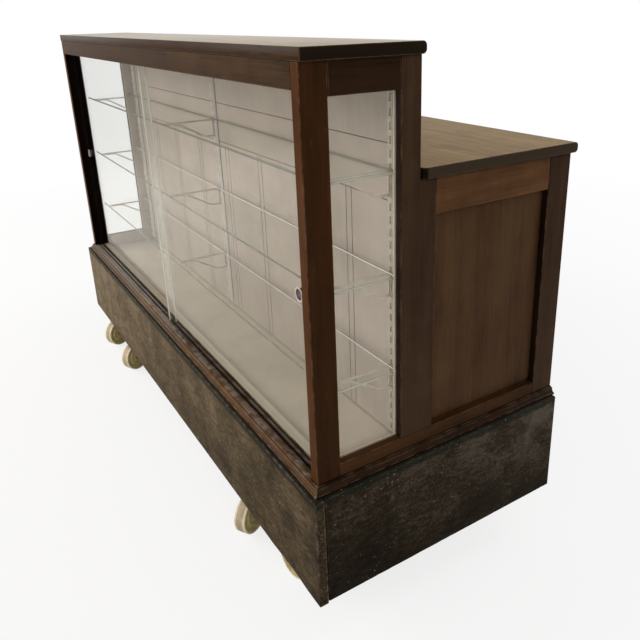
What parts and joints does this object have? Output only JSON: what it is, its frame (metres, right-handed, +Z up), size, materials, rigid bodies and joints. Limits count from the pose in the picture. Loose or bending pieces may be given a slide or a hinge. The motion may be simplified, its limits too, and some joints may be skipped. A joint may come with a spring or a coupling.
{
  "type": "counter display case",
  "caption": "Two-level wooden shop counter on swivel casters, glazed display with sliding doors and glass shelves in front, lower work top and open storage behind.",
  "frame": {"origin": "on the floor, under the centre of the overall box", "axes": "+X along the counter's length to the customer's right, -Y towards the customer, +Z up"},
  "size_m": [1.84, 0.6936, 1.177],
  "materials": {
    "upper_top": "varnished tan wood, worn pale by use",
    "lower_top": "varnished tan wood, worn pale by use",
    "front_header": "dark reddish-brown varnish",
    "front_sill": "dark reddish-brown varnish",
    "front_post_left": "dark reddish-brown varnish",
    "middle_stile_left": "very dark brown varnish, satin",
    "rear_stile_left": "very dark brown varnish, satin",
    "window_rail_left": "very dark brown varnish, satin",
    "panel_rail_left": "very dark brown varnish, satin",
    "bottom_rail_left": "dark reddish-brown varnish",
    "end_glass_left": "clear, smooth",
    "end_panel_left": "very dark brown varnish, satin",
    "front_post_right": "dark reddish-brown varnish",
    "middle_stile_right": "very dark brown varnish, satin",
    "rear_stile_right": "very dark brown varnish, satin",
    "window_rail_right": "very dark brown varnish, satin",
    "panel_rail_right": "very dark brown varnish, satin",
    "bottom_rail_right": "dark reddish-brown varnish",
    "end_glass_right": "clear, smooth",
    "end_panel_right": "very dark brown varnish, satin",
    "display_back": "pale paint, yellowed, satin",
    "bottom_board": "pale paint, yellowed, satin",
    "storage_shelf": "plain planed wood, aged",
    "rear_rail": "very dark brown varnish, satin",
    "rear_mullion": "very dark brown varnish, satin",
    "base_moulding_front": "dark reddish-brown varnish",
    "base_moulding_left": "dark reddish-brown varnish",
    "base_moulding_right": "dark reddish-brown varnish",
    "kick_board_front": "old grey-brown stain, scuffed and weathered",
    "kick_board_left": "old grey-brown stain, scuffed and weathered",
    "kick_board_right": "old grey-brown stain, scuffed and weathered",
    "kick_board_back": "old grey-brown stain, scuffed and weathered",
    "shelf_standard_left": "pale zinc-plated steel, dulled",
    "shelf_standard_middle": "pale zinc-plated steel, dulled",
    "shelf_standard_right": "pale zinc-plated steel, dulled",
    "glass_shelf_low": "clear, smooth",
    "glass_shelf_middle": "clear, smooth",
    "glass_shelf_high": "clear, smooth",
    "caster_bearer_front": "plain planed wood, aged",
    "caster_bearer_back": "plain planed wood, aged",
    "sliding_pane_front": "clear, smooth",
    "finger_pull_front": "bright plated metal, slightly dulled",
    "sliding_pane_rear": "clear, smooth",
    "finger_pull_rear": "bright plated metal, slightly dulled",
    "caster_fork_front_left_outer": "yellowed zinc plating",
    "caster_wheel_front_left_outer": "cream rubber, worn to tan on the tread",
    "caster_fork_front_left_inner": "yellowed zinc plating",
    "caster_wheel_front_left_inner": "cream rubber, worn to tan on the tread",
    "caster_fork_front_right_inner": "yellowed zinc plating",
    "caster_wheel_front_right_inner": "cream rubber, worn to tan on the tread",
    "caster_fork_front_right_outer": "yellowed zinc plating",
    "caster_wheel_front_right_outer": "cream rubber, worn to tan on the tread",
    "caster_fork_back_left_outer": "yellowed zinc plating",
    "caster_wheel_back_left_outer": "cream rubber, worn to tan on the tread",
    "caster_fork_back_left_inner": "yellowed zinc plating",
    "caster_wheel_back_left_inner": "cream rubber, worn to tan on the tread",
    "caster_fork_back_right_inner": "yellowed zinc plating",
    "caster_wheel_back_right_inner": "cream rubber, worn to tan on the tread",
    "caster_fork_back_right_outer": "yellowed zinc plating",
    "caster_wheel_back_right_outer": "cream rubber, worn to tan on the tread"
  },
  "bodies": {
    "case": {"upper_top": "upper_top", "lower_top": "lower_top", "front_header": "front_header", "front_sill": "front_sill", "front_post_left": "front_post_left", "middle_stile_left": "middle_stile_left", "rear_stile_left": "rear_stile_left", "window_rail_left": "window_rail_left", "panel_rail_left": "panel_rail_left", "bottom_rail_left": "bottom_rail_left", "end_glass_left": "end_glass_left", "end_panel_left": "end_panel_left", "front_post_right": "front_post_right", "middle_stile_right": "middle_stile_right", "rear_stile_right": "rear_stile_right", "window_rail_right": "window_rail_right", "panel_rail_right": "panel_rail_right", "bottom_rail_right": "bottom_rail_right", "end_glass_right": "end_glass_right", "end_panel_right": "end_panel_right", "display_back": "display_back", "bottom_board": "bottom_board", "storage_shelf": "storage_shelf", "rear_rail": "rear_rail", "rear_mullion": "rear_mullion", "base_moulding_front": "base_moulding_front", "base_moulding_left": "base_moulding_left", "base_moulding_right": "base_moulding_right", "kick_board_front": "kick_board_front", "kick_board_left": "kick_board_left", "kick_board_right": "kick_board_right", "kick_board_back": "kick_board_back", "shelf_standard_left": "shelf_standard_left", "shelf_standard_middle": "shelf_standard_middle", "shelf_standard_right": "shelf_standard_right", "glass_shelf_low": "glass_shelf_low", "glass_shelf_middle": "glass_shelf_middle", "glass_shelf_high": "glass_shelf_high", "caster_bearer_front": "caster_bearer_front", "caster_bearer_back": "caster_bearer_back"},
    "front_door": {"sliding_pane_front": "sliding_pane_front", "finger_pull_front": "finger_pull_front"},
    "rear_door": {"sliding_pane_rear": "sliding_pane_rear", "finger_pull_rear": "finger_pull_rear"},
    "swivel_front_left_outer": {"caster_fork_front_left_outer": "caster_fork_front_left_outer"},
    "wheel_front_left_outer": {"caster_wheel_front_left_outer": "caster_wheel_front_left_outer"},
    "swivel_front_left_inner": {"caster_fork_front_left_inner": "caster_fork_front_left_inner"},
    "wheel_front_left_inner": {"caster_wheel_front_left_inner": "caster_wheel_front_left_inner"},
    "swivel_front_right_inner": {"caster_fork_front_right_inner": "caster_fork_front_right_inner"},
    "wheel_front_right_inner": {"caster_wheel_front_right_inner": "caster_wheel_front_right_inner"},
    "swivel_front_right_outer": {"caster_fork_front_right_outer": "caster_fork_front_right_outer"},
    "wheel_front_right_outer": {"caster_wheel_front_right_outer": "caster_wheel_front_right_outer"},
    "swivel_back_left_outer": {"caster_fork_back_left_outer": "caster_fork_back_left_outer"},
    "wheel_back_left_outer": {"caster_wheel_back_left_outer": "caster_wheel_back_left_outer"},
    "swivel_back_left_inner": {"caster_fork_back_left_inner": "caster_fork_back_left_inner"},
    "wheel_back_left_inner": {"caster_wheel_back_left_inner": "caster_wheel_back_left_inner"},
    "swivel_back_right_inner": {"caster_fork_back_right_inner": "caster_fork_back_right_inner"},
    "wheel_back_right_inner": {"caster_wheel_back_right_inner": "caster_wheel_back_right_inner"},
    "swivel_back_right_outer": {"caster_fork_back_right_outer": "caster_fork_back_right_outer"},
    "wheel_back_right_outer": {"caster_wheel_back_right_outer": "caster_wheel_back_right_outer"}
  },
  "joints": [
    {"name": "front_door_slide", "type": "slide", "parent": "case", "child": "front_door", "axis": [-1, 0, 0], "range_m": [0, 0.858]},
    {"name": "rear_door_slide", "type": "slide", "parent": "case", "child": "rear_door", "axis": [1, 0, 0], "range_m": [0, 0.858]},
    {"name": "swivel_front_left_outer", "type": "hinge", "parent": "case", "child": "swivel_front_left_outer", "pos_m": [-0.747, -0.26474, 0.115], "axis": [0, 0, 1], "continuous": true},
    {"name": "spin_front_left_outer", "type": "hinge", "parent": "swivel_front_left_outer", "child": "wheel_front_left_outer", "pos_m": [-0.73221, -0.29646, 0.05], "axis": [0.9063, 0.4226, 0], "continuous": true},
    {"name": "swivel_front_left_inner", "type": "hinge", "parent": "case", "child": "swivel_front_left_inner", "pos_m": [-0.505, -0.26474, 0.115], "axis": [0, 0, 1], "continuous": true},
    {"name": "spin_front_left_inner", "type": "hinge", "parent": "swivel_front_left_inner", "child": "wheel_front_left_inner", "pos_m": [-0.49021, -0.29646, 0.05], "axis": [0.9063, 0.4226, 0], "continuous": true},
    {"name": "swivel_front_right_inner", "type": "hinge", "parent": "case", "child": "swivel_front_right_inner", "pos_m": [0.505, -0.26474, 0.115], "axis": [0, 0, 1], "continuous": true},
    {"name": "spin_front_right_inner", "type": "hinge", "parent": "swivel_front_right_inner", "child": "wheel_front_right_inner", "pos_m": [0.5225, -0.29505, 0.05], "axis": [0.866, 0.5, 0], "continuous": true},
    {"name": "swivel_front_right_outer", "type": "hinge", "parent": "case", "child": "swivel_front_right_outer", "pos_m": [0.747, -0.26474, 0.115], "axis": [0, 0, 1], "continuous": true},
    {"name": "spin_front_right_outer", "type": "hinge", "parent": "swivel_front_right_outer", "child": "wheel_front_right_outer", "pos_m": [0.71213, -0.26779, 0.05], "axis": [0.0872, -0.9962, 0], "continuous": true},
    {"name": "swivel_back_left_outer", "type": "hinge", "parent": "case", "child": "swivel_back_left_outer", "pos_m": [-0.747, 0.27796, 0.115], "axis": [0, 0, 1], "continuous": true},
    {"name": "spin_back_left_outer", "type": "hinge", "parent": "swivel_back_left_outer", "child": "wheel_back_left_outer", "pos_m": [-0.73057, 0.24705, 0.05], "axis": [0.8829, 0.4695, 0], "continuous": true},
    {"name": "swivel_back_left_inner", "type": "hinge", "parent": "case", "child": "swivel_back_left_inner", "pos_m": [-0.505, 0.27796, 0.115], "axis": [0, 0, 1], "continuous": true},
    {"name": "spin_back_left_inner", "type": "hinge", "parent": "swivel_back_left_inner", "child": "wheel_back_left_inner", "pos_m": [-0.48158, 0.25195, 0.05], "axis": [0.7431, 0.6691, 0], "continuous": true},
    {"name": "swivel_back_right_inner", "type": "hinge", "parent": "case", "child": "swivel_back_right_inner", "pos_m": [0.505, 0.27796, 0.115], "axis": [0, 0, 1], "continuous": true},
    {"name": "spin_back_right_inner", "type": "hinge", "parent": "swivel_back_right_inner", "child": "wheel_back_right_inner", "pos_m": [0.51406, 0.24415, 0.05], "axis": [0.9659, 0.2588, 0], "continuous": true},
    {"name": "swivel_back_right_outer", "type": "hinge", "parent": "case", "child": "swivel_back_right_outer", "pos_m": [0.747, 0.27796, 0.115], "axis": [0, 0, 1], "continuous": true},
    {"name": "spin_back_right_outer", "type": "hinge", "parent": "swivel_back_right_outer", "child": "wheel_back_right_outer", "pos_m": [0.76555, 0.24828, 0.05], "axis": [0.848, 0.5299, 0], "continuous": true}
  ]
}
